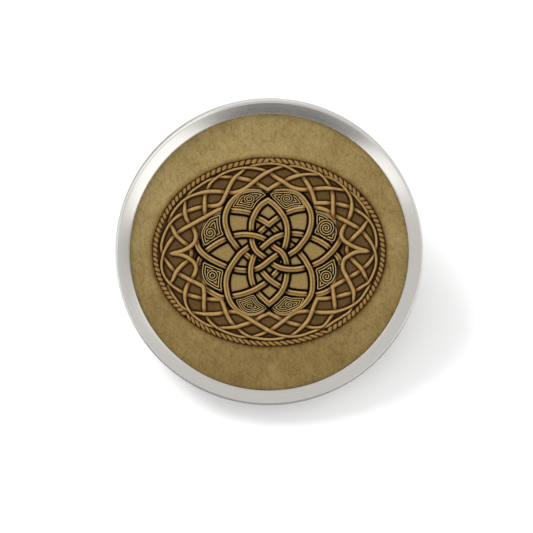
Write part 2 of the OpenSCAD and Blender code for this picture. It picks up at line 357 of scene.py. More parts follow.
# The woven strands of the band: rows of x, y and a code, which is 1 where the strand passes over,
# -1 where it passes under, 2 at a sharp bend, -2 at one that passes under and 3 at one that passes
# over. The first and last rows only steer.
BAND = [
    [(-3.6, 4.2), (-4.2, 4.4, -1), (-4.8, 4.22), (-5.65, 3.79), (-6.28, 3.43, 1), (-7.0, 3.03),
     (-7.67, 2.66, 1), (-8.35, 2.27), (-9.11, 1.73, -1), (-9.68, 1.05), (-10.1, 0.35),
     (-10.36, -0.32, 1), (-10.5, -1.1), (-10.4, -1.95), (-10.05, -2.65), (-9.65, -3.12, 1),
     (-8.93, -3.68), (-8.2, -4.1, -1), (-7.25, -4.39), (-6.33, -4.6, -1), (-5.43, -4.66),
     (-4.66, -4.66, 2), (-4.36, -5.45), (-4.19, -5.93, 1), (-3.75, -6.8), (-3.2, -7.38, -1),
     (-2.67, -7.88), (-1.85, -8.33, 1), (-1.0, -8.52), (0.0, -8.62), (0.93, -8.56),
     (1.93, -8.34, -1), (2.77, -7.85), (3.38, -7.29, 1), (3.9, -6.65), (4.22, -5.88, 1),
     (4.5, -5.1), (4.72, -4.58, 2), (5.56, -4.57), (6.36, -4.48, -1), (7.3, -4.23),
     (8.3, -3.92, -1), (9.11, -3.42), (9.7, -3.0, 1), (10.2, -2.1), (10.48, -1.0), (10.37, 0.0, 1),
     (10.01, 0.84), (9.45, 1.62), (8.97, 2.18, -1), (8.27, 2.6), (7.62, 2.98, 1), (6.75, 3.42),
     (6.23, 3.74, -1), (5.56, 4.12), (4.85, 4.34), (4.15, 4.42, -1), (3.6, 4.35)],
    [(-6.27, 2.9), (-6.28, 3.43, -1), (-6.3, 4.5, 1), (-6.29, 5.25), (-6.13, 5.93, -1),
     (-5.8, 6.68), (-5.15, 7.32, 1), (-4.2, 7.87), (-3.2, 8.18), (-2.15, 8.31, 1), (-1.2, 8.2),
     (-0.12, 7.88, -1), (0.5, 7.43), (1.33, 6.94, 1), (2.1, 6.42), (2.9, 6.18), (4.03, 6.17, -1),
     (5.0, 6.27), (6.01, 6.28, 1), (6.93, 6.15), (7.57, 6.0, -1), (8.1, 5.78), (8.75, 5.06),
     (9.43, 4.15), (9.8, 3.4, -2), (8.97, 2.18, 1), (8.33, 1.53), (7.77, 0.84, -1), (7.6, 0.3),
     (7.8, -0.35, -1), (8.35, -0.95), (9.08, -1.71, 1), (9.42, -2.35), (9.72, -2.92, -1),
     (9.9, -3.3)],
    [(9.6, -2.7), (9.72, -2.92, -1), (9.9, -3.2, 2), (9.47, -3.91), (8.95, -4.65), (8.22, -5.23, 1),
     (7.4, -5.64), (6.44, -5.9, 1), (5.4, -5.97), (4.22, -5.88, -1), (3.4, -5.84), (2.6, -5.97),
     (1.46, -6.78, 1), (0.67, -7.38), (0.02, -7.78, -1), (-0.8, -8.12), (-1.85, -8.38, -1),
     (-2.6, -8.38), (-3.6, -8.11), (-4.4, -7.81), (-5.13, -7.4, 1), (-5.72, -6.88),
     (-6.22, -6.1, -1), (-6.34, -5.4), (-6.33, -4.6, 1), (-6.34, -3.9), (-6.45, -3.42),
     (-6.95, -3.12), (-7.65, -2.78, 1), (-8.37, -2.38), (-9.08, -1.99, -1), (-9.62, -1.42),
     (-10.08, -0.78), (-10.37, -0.32, -1), (-10.53, 0.45), (-10.38, 1.3), (-10.03, 2.2),
     (-9.68, 2.8, 1), (-9.0, 3.46), (-8.23, 3.88, -1), (-7.25, 4.28), (-6.3, 4.5, -1),
     (-5.35, 4.55), (-4.9, 4.66), (-4.58, 4.98), (-4.37, 5.42), (-4.16, 5.88, 1), (-3.85, 6.55),
     (-3.42, 7.28, 1), (-2.85, 7.78), (-2.15, 8.31, -1), (-1.3, 8.57), (-0.4, 8.69), (0.65, 8.68),
     (1.58, 8.45, 1), (2.35, 8.02), (3.07, 7.57, -1), (3.58, 6.92), (4.03, 6.17, 1), (4.3, 5.45),
     (4.47, 4.83, 2), (5.3, 4.83), (6.21, 4.8, -1), (7.1, 4.64), (8.04, 4.36, -1), (8.9, 3.88),
     (9.72, 3.16, 1), (10.2, 2.4), (10.47, 1.3), (10.47, 0.5), (10.37, 0.0, -1), (10.2, -0.4)],
    [(10.47, 0.4), (10.37, 0.0, -1), (10.1, -0.58), (9.65, -1.2), (9.08, -1.71, -1), (8.43, -2.16),
     (7.67, -2.58, -1), (6.93, -3.01), (6.22, -3.42, 2), (6.36, -4.48, 1), (6.45, -5.2),
     (6.44, -5.9, -1), (6.02, -6.48), (5.2, -7.36, 1), (4.55, -7.46), (3.38, -7.28, -1),
     (2.4, -7.08), (1.46, -6.78, -1), (0.8, -6.43), (0.0, -6.02, 2), (-0.7, -6.35),
     (-1.46, -6.87, -1), (-2.3, -7.11), (-3.2, -7.38, 1), (-4.2, -7.46), (-5.13, -7.42, -1),
     (-6.0, -7.19), (-6.84, -6.68), (-7.7, -5.9, 1), (-8.1, -5.15), (-8.2, -4.12, 1), (-8.02, -3.4),
     (-7.65, -2.78, -1), (-7.25, -2.12), (-7.12, -1.55), (-7.33, -1.04), (-7.75, -0.66, 1),
     (-8.6, -0.28), (-9.5, -0.14, 2), (-8.6, 0.08), (-7.8, 0.48, 1), (-7.28, 0.98), (-7.15, 1.6),
     (-7.34, 2.2), (-7.67, 2.67, -1), (-8.05, 3.25), (-8.23, 3.88, 1), (-8.23, 4.6),
     (-8.12, 5.27, -1), (-7.75, 5.8), (-6.75, 6.56), (-5.9, 7.08), (-5.15, 7.32, -1), (-4.2, 7.38),
     (-3.42, 7.33, -1), (-2.5, 7.18), (-1.5, 6.92, -1), (-1.1, 6.7)],
    [(-1.9, 7.05), (-1.5, 6.92, -1), (-0.8, 6.5), (-0.14, 6.12, 2), (0.5, 6.53), (1.33, 6.95, -1),
     (2.1, 7.3), (3.07, 7.59, 1), (4.1, 7.66), (5.08, 7.55, -1), (6.02, 7.27), (6.93, 6.7),
     (7.57, 6.0, 1), (7.96, 5.28), (8.05, 4.36, 1), (7.88, 3.6), (7.62, 2.98, -1), (7.18, 2.25),
     (7.05, 1.65), (7.28, 1.18), (7.77, 0.82, 1), (8.65, 0.38), (9.62, 0.09, 2), (8.6, 0.02),
     (7.8, -0.35, 1), (7.28, -0.85), (7.2, -1.45), (7.67, -2.56, 1), (8.08, -3.35), (8.3, -3.95, 1),
     (8.29, -4.6), (8.22, -5.22, -1), (7.95, -5.82), (7.2, -6.36), (6.38, -6.86), (5.61, -7.38),
     (5.2, -7.54, -1), (4.2, -7.88), (3.0, -8.27), (1.93, -8.32, 1), (0.93, -8.13),
     (0.02, -7.75, 1), (-0.8, -7.28), (-1.46, -6.88, 1), (-2.3, -6.34), (-3.1, -5.92),
     (-4.19, -5.94, -1), (-5.0, -6.08), (-6.22, -6.11, 1), (-7.02, -6.0), (-7.7, -5.87, -1),
     (-8.2, -5.6)],
    [(-7.2, -5.97), (-7.7, -5.87, -1), (-8.43, -5.45), (-9.06, -4.68), (-9.56, -3.95),
     (-9.86, -3.35, -2), (-9.4, -2.7), (-9.08, -2.0, 1), (-8.47, -1.27), (-7.77, -0.68, -1),
     (-7.58, -0.15), (-7.8, 0.5, -1), (-8.47, 1.06), (-9.12, 1.73, 1), (-9.45, 2.4),
     (-9.8, 3.02, -2), (-9.45, 3.8), (-8.9, 4.55), (-8.12, 5.27, 1), (-7.2, 5.67), (-6.13, 5.93, 1),
     (-5.2, 5.96), (-4.16, 5.87, -1), (-3.4, 5.85), (-2.6, 6.12), (-1.5, 6.93, 1), (-0.85, 7.45),
     (-0.12, 7.9, 1), (0.6, 8.22), (1.58, 8.43, -1), (2.4, 8.47), (3.6, 8.17), (4.5, 7.86),
     (5.08, 7.54, 1), (5.6, 6.92), (6.01, 6.27, -1), (6.19, 5.5), (6.21, 4.8, 1), (6.23, 3.74, 1),
     (6.3, 3.2, -1), (6.35, 2.7)]]
# The rosette's two lenses, which run out to the petals' tips, its chevron and its four loops
LENSES = [
    [(7.2, 1.9), (7.02, 1.45, -1), (6.76, 0.92), (6.5, 0.52), (6.15, 0.1, 1), (5.65, -0.42),
     (5.0, -0.92), (4.35, -1.23), (3.85, -1.4, -1), (3.2, -1.58), (2.56, -1.68), (1.75, -1.66, 1),
     (1.1, -1.52, 1), (0.45, -1.22), (-0.05, -0.78, -1), (-0.7, -0.33), (-1.2, 0.08, 1),
     (-1.62, 0.85, 1), (-1.73, 1.73, -1), (-1.75, 2.45), (-1.7, 3.0), (-1.47, 3.65, 1),
     (-0.75, 4.7), (-0.14, 5.12, 2), (0.37, 4.76), (1.25, 3.75, 1), (1.55, 3.22), (1.73, 2.55),
     (1.76, 1.85, 1), (1.62, 0.95, 1), (1.46, 0.42), (1.2, 0.05, -1), (0.62, -0.36),
     (-0.03, -0.82, 1), (-0.46, -1.18), (-0.95, -1.5, 1), (-1.3, -1.66), (-1.8, -1.78, -1),
     (-2.4, -1.8), (-3.1, -1.73), (-3.77, -1.55, -1), (-4.3, -1.36), (-5.2, -0.96), (-5.93, -0.54),
     (-6.42, -0.16, 1), (-6.7, 0.12), (-6.9, 0.42), (-7.04, 0.8), (-7.12, 1.25, -1), (-7.15, 1.7)],
    [(-6.95, -1.7), (-6.92, -1.3, -1), (-6.84, -0.9), (-6.7, -0.52), (-6.42, -0.13, -1),
     (-5.8, 0.39), (-5.2, 0.8), (-4.51, 1.18), (-3.86, 1.47, -1), (-3.2, 1.67), (-2.5, 1.75),
     (-1.73, 1.71, 1), (-1.2, 1.6, 1), (-0.62, 1.38), (-0.03, 1.0, -1), (0.5, 0.5), (1.18, 0.04, 1),
     (1.53, -0.5, 1), (1.7, -1.05), (1.76, -1.66, -1), (1.73, -2.3), (1.63, -2.9), (1.44, -3.45, 1),
     (1.22, -3.89), (0.61, -4.6), (0.03, -5.1, 2), (-0.46, -4.65), (-1.0, -4.12),
     (-1.35, -3.66, -1), (-1.6, -3.05), (-1.77, -2.34), (-1.8, -1.78, 1), (-1.75, -1.28),
     (-1.62, -0.8, 1), (-1.43, -0.28), (-1.2, 0.04, -1), (-0.82, 0.32), (-0.46, 0.65),
     (-0.03, 1.02, 1), (0.45, 1.38), (1.0, 1.64, 1), (1.35, 1.75), (1.77, 1.84, -1), (2.4, 1.84),
     (3.1, 1.76), (3.72, 1.6, -1), (4.24, 1.42), (5.2, 0.94), (5.56, 0.7), (6.13, 0.12, -1),
     (6.5, -0.2), (6.72, -0.45), (6.92, -0.86), (7.02, -1.25, -1), (7.05, -1.6)],
    [(-4.6, 4.22), (-4.15, 4.18, -1), (-3.5, 4.11), (-2.83, 4.04), (-2.0, 3.88), (-1.47, 3.62, -1),
     (-1.12, 3.38), (-0.59, 3.09), (-0.03, 2.74, 3), (0.43, 3.1), (0.95, 3.48), (1.27, 3.72, -1),
     (1.75, 3.92), (2.45, 4.17), (3.2, 4.3), (3.9, 4.37, -1), (4.5, 4.36)]]
LOOPS = [
    [(0.1, 5.75), (-0.35, 5.86), (-0.9, 6.06), (-1.51, 6.13), (-2.2, 6.05), (-2.8, 5.78),
     (-3.35, 5.38), (-3.8, 4.85), (-4.12, 4.25, 1), (-4.32, 3.5), (-4.3, 2.8), (-4.12, 2.15),
     (-3.86, 1.5, 1), (-3.45, 0.9), (-2.78, 0.1, -1), (-2.12, -0.33), (-1.58, -0.93, -1),
     (-0.98, -1.52, -1), (-0.62, -1.97), (-0.03, -2.6, 1), (0.45, -2.98), (1.03, -3.34),
     (1.46, -3.62, -1), (1.9, -3.9), (2.56, -4.05), (3.5, -4.13), (4.17, -4.17, -1), (4.66, -4.17),
     (5.3, -4.02), (5.88, -3.74), (6.25, -3.5, -1), (6.6, -3.2)],
    [(-0.1, -5.6), (-0.45, -5.75), (-1.0, -6.05), (-1.6, -6.2), (-2.2, -6.15), (-2.75, -5.9),
     (-3.19, -5.6), (-3.62, -5.13), (-3.97, -4.4, 1), (-4.14, -3.7), (-4.2, -2.97), (-4.09, -2.23),
     (-3.8, -1.52, 1), (-3.35, -0.84), (-2.75, -0.05, 1), (-2.25, 0.34), (-1.62, 0.85, -1),
     (-1.18, 1.55, -1), (-0.83, 2.04), (-0.46, 2.37), (-0.05, 2.68, -1), (0.3, 2.95)],
    [(-0.4, 5.65), (0.05, 5.82), (0.45, 6.02), (0.98, 6.12), (1.66, 6.12), (2.35, 5.96),
     (2.82, 5.7), (3.19, 5.36), (3.56, 4.86), (3.88, 4.34, 1), (4.08, 3.7), (4.11, 3.02),
     (3.93, 2.13), (3.7, 1.6, 1), (3.19, 0.86), (2.7, 0.3, 1), (2.03, -0.19), (1.52, -0.6, -1),
     (1.08, -1.48, -1), (0.72, -1.97), (0.4, -2.32), (-0.02, -2.64, -1), (-0.35, -3.02),
     (-0.83, -3.34), (-1.35, -3.64, 1), (-1.9, -3.9), (-2.6, -4.14), (-3.4, -4.31),
     (-3.97, -4.4, -1), (-4.6, -4.45), (-5.15, -4.24), (-5.75, -3.88), (-6.25, -3.55, -1),
     (-6.6, -3.3)],
    [(0.1, -5.6), (0.45, -5.8), (1.0, -6.08), (1.7, -6.15), (2.3, -5.95), (2.77, -5.62),
     (3.25, -5.33), (3.64, -4.93), (4.12, -4.15, 1), (4.27, -3.18), (4.22, -2.44), (4.03, -1.71),
     (3.86, -1.38, 1), (3.4, -0.6), (3.03, -0.13), (2.7, 0.28, -1), (2.19, 0.62), (1.62, 1.02, -1),
     (1.03, 1.62, -1), (0.72, 2.02), (0.35, 2.37), (-0.02, 2.66, -1), (-0.4, 2.95)]]
# Share of its width that a loop has at its first rows, where it thins towards the middle
LOOP_SHARES = (0.3, 0.3, 0.36, 0.42, 0.5, 0.64, 0.86)
# Black arms that cross over the lenses' points
ARMS = [
    [(0.6, 5.1), (0.3, 5.32), (-0.18, 5.68), (-0.78, 6.1), (-1.0, 6.18)],
    [(-0.9, 5.08), (-0.62, 5.3), (-0.18, 5.68), (0.42, 6.09), (0.7, 6.18)],
    [(-0.7, -5.0), (-0.42, -5.24), (0.05, -5.6), (0.62, -6.02), (0.85, -6.12)],
    [(0.75, -5.0), (0.5, -5.23), (0.05, -5.6), (-0.5, -6.0), (-0.8, -6.12)]]
ROSETTE_EDGE = [
    (0.0, 6.32), (0.94, 6.53), (1.9, 6.46), (2.8, 6.13), (3.58, 5.57), (4.14, 4.77), (4.67, 4.05),
    (5.89, 3.79), (6.59, 3.01), (6.97, 2.05), (7.37, 1.06), (6.99, 0.0), (7.39, -1.06),
    (6.92, -2.03), (6.48, -2.96), (6.27, -4.03), (5.24, -4.54), (4.21, -4.86), (3.56, -5.54),
    (2.79, -6.1), (1.9, -6.46), (0.94, -6.54), (0.0, -5.75), (-0.94, -6.54), (-1.93, -6.58),
    (-2.85, -6.25), (-3.66, -5.7), (-4.31, -4.98), (-5.35, -4.64), (-6.32, -4.06), (-6.58, -3.01),
    (-6.88, -2.02), (-7.3, -1.05), (-7.2, -0.0), (-7.49, 1.08), (-6.91, 2.03), (-6.33, 2.89),
    (-5.51, 3.54), (-4.77, 4.13), (-4.27, 4.93), (-3.63, 5.65), (-2.82, 6.17), (-1.91, 6.49),
    (-0.93, 6.49)]
# Outline, centre, hand (0 for closed rings), number of turns and flatness of each spiral field
FIELDS = [
    ([(1.5, 4.2), (2.35, 4.45), (3.42, 4.55), (3.24, 5.07), (2.98, 5.4), (2.7, 5.74), (2.03, 5.95),
      (1.24, 5.99), (0.45, 5.93), (0.02, 5.66), (0.6, 5.0)],
     (1.72, 5.28), 1, 3.0, 0.78),
    ([(-3.62, 4.46), (-2.72, 4.36), (-1.72, 4.18), (-1.25, 4.8), (-0.72, 5.32), (-0.28, 5.62),
      (-0.75, 5.98), (-1.5, 6.08), (-2.3, 5.97), (-2.95, 5.66), (-3.3, 5.1)],
     (-1.98, 5.26), 0, 2.6, 0.78),
    ([(-3.25, -4.7), (-2.56, -4.5), (-2.04, -4.28), (-1.46, -4.18), (-0.98, -4.81), (-0.2, -5.46),
      (-0.72, -5.88), (-1.35, -6.12), (-1.98, -6.13), (-2.56, -5.88), (-2.93, -5.44)],
     (-1.88, -5.26), 0, 1.8, 0.62),
    ([(1.56, -4.28), (2.19, -4.42), (3.45, -4.49), (3.3, -4.92), (3.08, -5.39), (2.56, -5.72),
      (1.93, -5.95), (1.14, -6.05), (0.29, -5.49), (0.82, -4.97)],
     (1.98, -5.18), -1, 2.2, 0.72),
    ([(4.58, 3.76), (5.19, 3.73), (5.87, 3.34), (6.4, 2.81), (6.64, 2.23), (6.61, 1.7), (6.3, 1.02),
      (5.61, 1.2), (4.98, 1.55), (4.37, 1.9), (4.55, 2.6)],
     (5.56, 2.39), 1, 3.8, 1.00),
    ([(-4.77, 3.73), (-5.32, 3.6), (-5.98, 3.24), (-6.51, 2.44), (-6.69, 1.86), (-6.62, 1.23),
      (-6.3, 0.62), (-5.56, 1.02), (-4.93, 1.42), (-4.43, 1.71), (-4.62, 2.28), (-4.75, 3.02)],
     (-5.77, 1.92), -1, 2.8, 1.00),
    ([(-6.43, -0.92), (-5.72, -1.18), (-5.04, -1.49), (-4.45, -1.78), (-4.54, -2.55),
      (-4.59, -3.28), (-4.54, -3.8), (-5.04, -3.76), (-5.83, -3.34), (-6.41, -2.76), (-6.62, -1.97),
      (-6.56, -1.39)],
     (-5.54, -2.28), 0, 2.4, 1.00),
    ([(4.51, -1.65), (5.19, -1.28), (6.29, -0.62), (6.51, -1.07), (6.64, -1.71), (6.56, -2.34),
      (6.19, -2.97), (5.45, -3.49), (4.72, -3.73), (4.66, -3.02), (4.61, -2.34)],
     (5.61, -2.39), 1, 3.0, 1.00)]


# Way to the nearest crossing under, in mm, of a strand that has none
FAR = 9.0


def heading(p, corner, i, other):
    """Way of a strand at row i: along its leg to the other row at a sharp bend, else smooth."""
    if corner[i]:
        a, b = p[min(i, other)], p[max(i, other)]
        return (b - a) / np.linalg.norm(b - a)
    if i == 0 or i == len(p) - 1:
        a, b = (p[0], p[1]) if i == 0 else (p[-2], p[-1])
        return (b - a) / np.linalg.norm(b - a)
    before, after = np.linalg.norm(p[i] - p[i - 1]), np.linalg.norm(p[i + 1] - p[i])
    come, go = (p[i] - p[i - 1]) / before, (p[i + 1] - p[i]) / after
    return (come * after + go * before) / (before + after)


def strand(rows, step, reach, shares=()):
    """Points of one strand in even steps, with each point's lift, share of the width and way to
    the nearest crossing under, and the numbers of the points at sharp bends."""
    p = np.array([r[:2] for r in rows], float)
    code = [r[2] if len(r) > 2 else 0 for r in rows]
    lift = [{1: 1.0, 3: 1.0, -1: -1.0, -2: -1.0}.get(c, 0.0) for c in code]
    corner = [abs(c) > 1 for c in code]
    last = len(rows) - 2
    spots, place, at_row = [], [], {}
    for i in range(1, last):
        d = np.linalg.norm(p[i + 1] - p[i])
        da, db = heading(p, corner, i, i + 1) * d, heading(p, corner, i + 1, i) * d
        n = max(2, int(round(d / step)))
        at_row[i] = len(spots)
        for k in range(n):
            u = k / n
            spots.append(p[i] * (1 + u * u * (2 * u - 3)) + da * (u * (1 - u) ** 2)
                         + p[i + 1] * (u * u * (3 - 2 * u)) + db * (u * u * (u - 1)))
            place.append(i + u)
    at_row[last] = len(spots)
    spots.append(p[last])
    place.append(last)
    spots = np.array(spots)
    run = np.concatenate([[0], np.cumsum(np.linalg.norm(np.diff(spots, axis=0), axis=1))])
    levels = [(run[at_row[i]], lift[i]) for i in range(1, last + 1) if lift[i] or i in (1, last)]
    knots = []
    for (s0, v0), (s1, v1) in zip(levels, levels[1:]):
        knots.append((s0, v0))
        if s1 - s0 > 2.2 * reach:
            knots += [(s0 + reach, 0.0), (s1 - reach, 0.0)]
    knots.append(levels[-1])
    lifts = np.zeros(len(run))
    for (s0, v0), (s1, v1) in zip(knots, knots[1:]):
        inside = (run >= s0 - 1e-9) & (run <= s1 + 1e-9)
        u = (run[inside] - s0) / max(1e-9, s1 - s0)
        lifts[inside] = v0 + (v1 - v0) * (u * u * (3 - 2 * u))
    under = [run[at_row[i]] for i in range(1, last + 1) if lift[i] < 0]
    near = np.min([abs(run - s) for s in under], axis=0) if under else np.full(len(run), FAR)
    row_share = list(shares) + [1.0] * (len(rows) - len(shares))
    share = np.interp(place, range(len(rows)), row_share)
    return spots, lifts, share, [at_row[i] for i in range(1, last + 1) if corner[i]], near


def unit(v):
    return v / np.maximum(1e-9, np.linalg.norm(v, axis=-1, keepdims=True))


# Points on each side of a sharp bend that its mitre may cut, and the least lean that widens one
MITRE_POINTS, LEAST_LEAN = 24, 0.66
# A strand's least height over its floor
LEAST_H = 0.012
# The side of a strand that faces this way is darker by this share: painted shade on the side turned
# from the light
SHADE_WAY, SHADE_SHARE = np.array([0.55, -0.84]), 0.62
# A strand darkens from this far from a crossing under, over this length: painted shade where it
# passes under another
DIM_START, DIM_LENGTH = 0.72, 0.36


def sweep(shells, spots, lifts, width, corners, near, profile, level, amount, floor_z, dark):
    """A closed shell along a strand. profile is rows of offset, height over the skirt and tone,
    amount is how far the strand rises and dips at crossings, and dark how much painted shade
    darkens it where it passes under another; the side that faces SHADE_WAY gets painted shade too."""
    n = len(spots)
    legs = unit(np.diff(spots, axis=0))
    before = np.vstack([legs[:1], legs])
    after = np.vstack([legs, legs[-1:]])
    ahead = unit(before + after)
    lean = np.maximum(LEAST_LEAN, (ahead * after).sum(1))
    left = np.stack([-ahead[:, 1], ahead[:, 0]], 1) / lean[:, None]
    off, rise, tone = np.array(profile).T
    where = spots[:, None, :] + left[:, None, :] * off[None, :, None] * width[:, None, None]
    for c in corners:
        centre, m = spots[c], ahead[c]
        for i in range(max(0, c - MITRE_POINTS), min(n, c + MITRE_POINTS + 1)):
            if i == c:
                continue
            side = -1 if i < c else 1
            leg = before[c] if i < c else after[c]
            past = (where[i] - centre) @ m
            wrong = past * side < 0
            where[i][wrong] -= leg * (past[wrong] / (leg @ m))[:, None]
    lift = lifts[:, None] * amount
    skirt = np.maximum(level + lift, floor_z + LEAST_H)
    top = np.maximum(level + lift + rise[None, :] * (0.55 + 0.45 * width[:, None]), skirt)
    low = rise < 0.02
    top[:, low] = np.maximum(skirt + rise[low][None, :], floor_z + LEAST_H)
    # Painted shade near each crossing under
    under_shade = np.clip((DIM_START - near) / DIM_LENGTH, 0, 1)[:, None]
    # Painted shade on the side of the strand that faces SHADE_WAY, turned from the light
    side_shade = (left @ SHADE_WAY)[:, None] * off[None, :] / abs(off).max()
    shade = np.clip(tone[None, :] * (1 - dark * under_shade) * (1 - SHADE_SHARE * side_shade), 0, 1)
    k = len(profile)
    m = k + 2
    bottom = SEAT_Z + 0.06
    verts = np.zeros((n, m, 3))
    verts[:, :k, :2] = where
    verts[:, :k, 2] = top
    verts[:, k, :2] = where[:, -1]
    verts[:, k + 1, :2] = where[:, 0]
    verts[:, k:, 2] = bottom
    tones = np.zeros((n, m))
    tones[:, :k] = shade
    faces = []
    for i in range(n - 1):
        a, b = i * m, (i + 1) * m
        faces += [(a + j, a + (j + 1) % m, b + (j + 1) % m, b + j) for j in range(m)]
    faces += [tuple(reversed(range(m))), tuple((n - 1) * m + j for j in range(m))]
    if np.cross(left[0], ahead[0]) > 0:
        faces = [tuple(reversed(f)) for f in faces]
    shells.add(verts.reshape(-1, 3), faces, tones.reshape(-1))


# Across a strand the tone is lightest on the crest and falls down its sides, a painted highlight
# and painted shade; the rosette's strands are also darker in their middle groove, and the skirts
# are the black cut lines
BAND_PROFILE = [
    (-0.275, 0.0, 0.05), (-0.225, 0.004, 0.08), (-0.205, 0.05, 0.42), (-0.15, 0.105, 0.78),
    (-0.07, 0.138, 0.97), (0.0, 0.145, 1.0), (0.07, 0.138, 0.97), (0.15, 0.105, 0.78),
    (0.205, 0.05, 0.42), (0.225, 0.004, 0.08), (0.275, 0.0, 0.05)]
ROSETTE_PROFILE = [
    (-0.475, 0.0, 0.0), (-0.285, 0.004, 0.0), (-0.265, 0.06, 0.32), (-0.21, 0.115, 0.74),
    (-0.13, 0.14, 1.0), (-0.05, 0.118, 0.68), (0.0, 0.1, 0.46), (0.05, 0.118, 0.68),
    (0.13, 0.14, 1.0), (0.21, 0.115, 0.74), (0.265, 0.06, 0.32), (0.285, 0.004, 0.0),
    (0.475, 0.0, 0.0)]
ARM_PROFILE = [(-0.07, 0.0, 0.0), (-0.05, 0.02, 0.0), (0.05, 0.02, 0.0), (0.07, 0.0, 0.0)]
# Spacing of a strand's points, and the length over which one sinks to a crossing
STEP, BAND_REACH, ROSETTE_REACH = 0.1, 0.5, 0.7
# Level, rise at crossings, floor and painted shade at crossings under
BAND_LAY = (FACE_Z - 0.045, 0.095, GROUND_Z, 0.42)
ROSETTE_LAY = (FACE_Z + 0.01, 0.105, FLOOR_Z, 0.4)
ARM_LAY = (FACE_Z + 0.10, 0.0, FLOOR_Z, 0.0)
# Oval on which the band's strands run along the rope
HUG_A, HUG_B = 10.59, 8.49


def hug(spots):
    """Share of its width that a band strand keeps: it thins where it runs along the rope."""
    e = np.sqrt((spots[:, 0] / HUG_A) ** 2 + (spots[:, 1] / HUG_B) ** 2)
    u = np.clip((e - 0.90) / 0.08, 0, 1)
    return 1 - 0.36 * u * u * (3 - 2 * u)


steel_mat = steel("brushed_steel_rim")
post_mat = steel("satin_steel_post", streaks=False)
leather_mat = tan_leather("tan_leather")
strand_mat = relief("strand_tan", [
    (0.0, (15, 8, 4)), (0.16, (41, 25, 11)), (0.42, (91, 62, 31)),
    (0.74, (134, 105, 60)), (1.0, (166, 136, 85))])
rosette_mat = relief("rosette_tan", [
    (0.0, (1, 0, 0)), (0.18, (7, 4, 2)), (0.40, (78, 52, 25)),
    (0.72, (136, 107, 61)), (1.0, (177, 149, 97))])
spiral_mat = relief("spiral_tan", [
    (0.0, (4, 3, 1)), (0.25, (32, 21, 10)), (0.55, (98, 74, 41)),
    (1.0, (184, 157, 105))], speck=0.3)
floor_mat = relief("rosette_floor_tan", [
    (0.0, (15, 8, 4)), (0.3, (82, 61, 34)), (0.6, (128, 105, 63)),
    (1.0, (147, 125, 78))], speck=0.6)
ground_mat = ground_paint("dark_ground")

# Strands
band, rosette = Shells(), Shells()
band_paths, rosette_paths = [], []
for rows in BAND:
    spots, lifts, _, corners, near = strand(rows, STEP, BAND_REACH)
    sweep(band, spots, lifts, hug(spots), corners, near, BAND_PROFILE, *BAND_LAY)
    band_paths.append(spots)
for rows in LENSES + LOOPS:
    shares = LOOP_SHARES if rows in LOOPS else ()
    spots, lifts, share, corners, near = strand(rows, STEP, ROSETTE_REACH, shares)
    sweep(rosette, spots, lifts, share, corners, near, ROSETTE_PROFILE, *ROSETTE_LAY)
    rosette_paths.append(spots)
for rows in ARMS:
    spots, lifts, share, corners, near = strand(rows, STEP, ROSETTE_REACH)
    sweep(rosette, spots, lifts, share, corners, near, ARM_PROFILE, *ARM_LAY)
band.make("band_strands", strand_mat, "relief_leather", sharp_deg=75)
rosette.make("rosette_strands", rosette_mat, "relief_leather", sharp_deg=75)

# Floors of the relief
band_line = np.vstack(band_paths + rosette_paths)
rosette_line = np.vstack(rosette_paths)


def nearest(points, line, chunk=2000):
    """Distance from each point to a line of points, of which every second one is enough."""
    out = np.empty(len(points))
    for i in range(0, len(points), chunk):
        d = points[i:i + chunk, None, :] - line[None, ::2, :]
        out[i:i + chunk] = np.sqrt((d ** 2).sum(2).min(1))
    return out


def outline_r(outline, angles):
    """Distance from the origin to a closed outline that is seen whole from there."""
    o = np.array(outline)
    out = np.zeros(len(angles))
    for k, a in enumerate(angles):
        d = np.array([math.cos(a), math.sin(a)])
        best = 0.0
        for p, r in zip(o, np.roll(o, -1, 0)):
            e = r - p
            den = d[0] * e[1] - d[1] * e[0]
            if abs(den) < 1e-12:
                continue
            t = (p[0] * e[1] - p[1] * e[0]) / den
            u = (p[0] * d[1] - p[1] * d[0]) / den
            if t > 0 and -1e-9 <= u <= 1 + 1e-9:
                best = max(best, t)
        out[k] = best
    return out


def plate(inner_r, outer_r, angles, rings, height, bottom):
    """Closed plate between two polar outlines; height gives z and tone for its top points."""
    n = len(angles)
    s = np.linspace(0, 1, rings)[:, None]
    r = inner_r[None, :] * (1 - s) + outer_r[None, :] * s
    x, y = r * np.cos(angles), r * np.sin(angles)
    top = np.stack([x, y], 2).reshape(-1, 2)
    z, tone = height(top)
    verts = np.column_stack([top, z])
    faces = []
    solid = inner_r.max() < 1e-6
    if solid:
        verts = verts[n - 1:]
        tone = tone[n - 1:]
        faces += [(0, 1 + k, 1 + (k + 1) % n) for k in range(n)]
        start, rows = 1, rings - 1
    else:
        start, rows = 0, rings
    for j in range(rows - 1):
        a, b = start + j * n, start + (j + 1) * n
        faces += [(a + k, b + k, b + (k + 1) % n, a + (k + 1) % n) for k in range(n)]

    def lower_edge(radius):
        flat = np.full(n, bottom)
        return np.column_stack([radius * np.cos(angles), radius * np.sin(angles), flat])

    rim = start + (rows - 1) * n
    low = len(verts)
    verts = np.vstack([verts, lower_edge(outer_r)])
    faces += [(rim + k, low + k, low + (k + 1) % n, rim + (k + 1) % n) for k in range(n)]
    tone = np.concatenate([tone, np.zeros(n)])
    if solid:
        faces.append(tuple(low + k for k in reversed(range(n))))
    else:
        inner = len(verts)
        verts = np.vstack([verts, lower_edge(inner_r)])
        tone = np.concatenate([tone, np.zeros(n)])
        faces += [(start + (k + 1) % n, inner + (k + 1) % n, inner + k, start + k)
                  for k in range(n)]
        faces += [(low + (k + 1) % n, low + k, inner + k, inner + (k + 1) % n)
                  for k in range(n)]
    return verts, faces, tone


